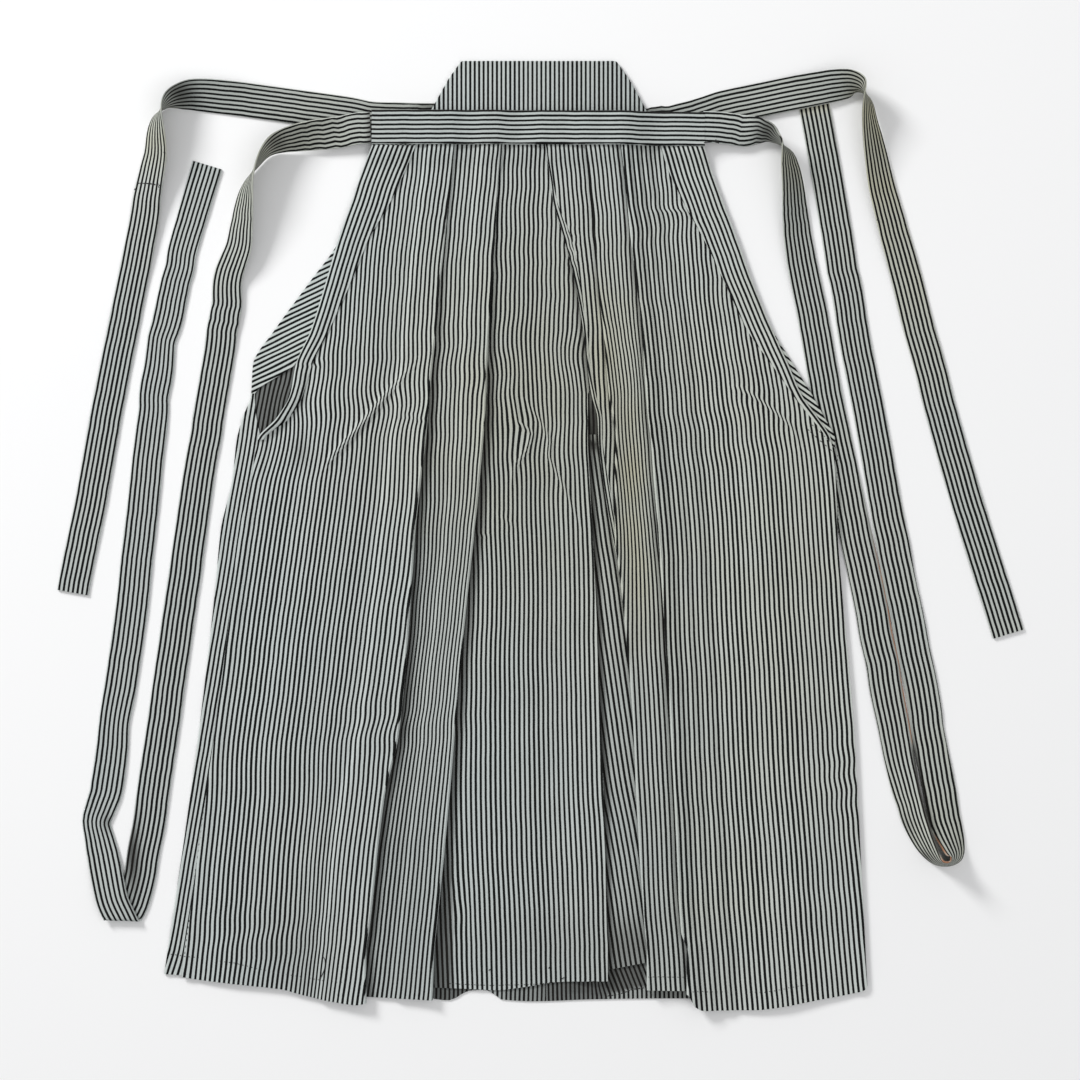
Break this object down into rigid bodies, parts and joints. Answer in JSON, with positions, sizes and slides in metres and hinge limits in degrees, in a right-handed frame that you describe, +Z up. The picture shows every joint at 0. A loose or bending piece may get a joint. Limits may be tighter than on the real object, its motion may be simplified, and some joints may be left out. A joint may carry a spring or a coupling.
{
  "type": "hakama trousers",
  "caption": "Pleated wide-leg hakama in striped cotton, laid flat front up, with stiff back board, front band and long ties spread out at both sides.",
  "frame": {"origin": "middle of the whole spread garment's outer box, on the surface it lies on", "axes": "+Y from the hem towards the waist, +X to the right as seen from above, +Z up from the surface, through the garment's thickness"},
  "size_m": [1.019, 1.005, 0.0331],
  "materials": {
    "back_board": "cloth-covered stiff board, fine stripes up and down",
    "front_band": "folded tape, fine stripes along it",
    "front_tie_left": "folded tape, fine stripes along it",
    "front_tie_right": "folded tape, fine stripes along it",
    "back_tie_left": "folded tape, fine stripes along it",
    "back_tie_right": "folded tape, fine stripes along it",
    "back_panel_left": "plain weave, fine dark and pale stripes",
    "back_panel_right": "plain weave, fine dark and pale stripes",
    "front_panel_left": "plain weave, fine dark and pale stripes",
    "front_panel_right": "plain weave, fine dark and pale stripes",
    "inner_leg": "plain weave, fine dark and pale stripes",
    "front_facing_left": "folded strip, stripes along the slanted edge",
    "front_facing_right": "folded strip, stripes along the slanted edge"
  },
  "bodies": {
    "root": {"back_board": "back_board", "front_band": "front_band", "front_tie_left": "front_tie_left", "front_tie_right": "front_tie_right", "back_tie_left": "back_tie_left", "back_tie_right": "back_tie_right", "back_panel_left": "back_panel_left", "back_panel_right": "back_panel_right", "front_panel_left": "front_panel_left", "front_panel_right": "front_panel_right", "inner_leg": "inner_leg", "front_facing_left": "front_facing_left", "front_facing_right": "front_facing_right"}
  },
  "joints": []
}
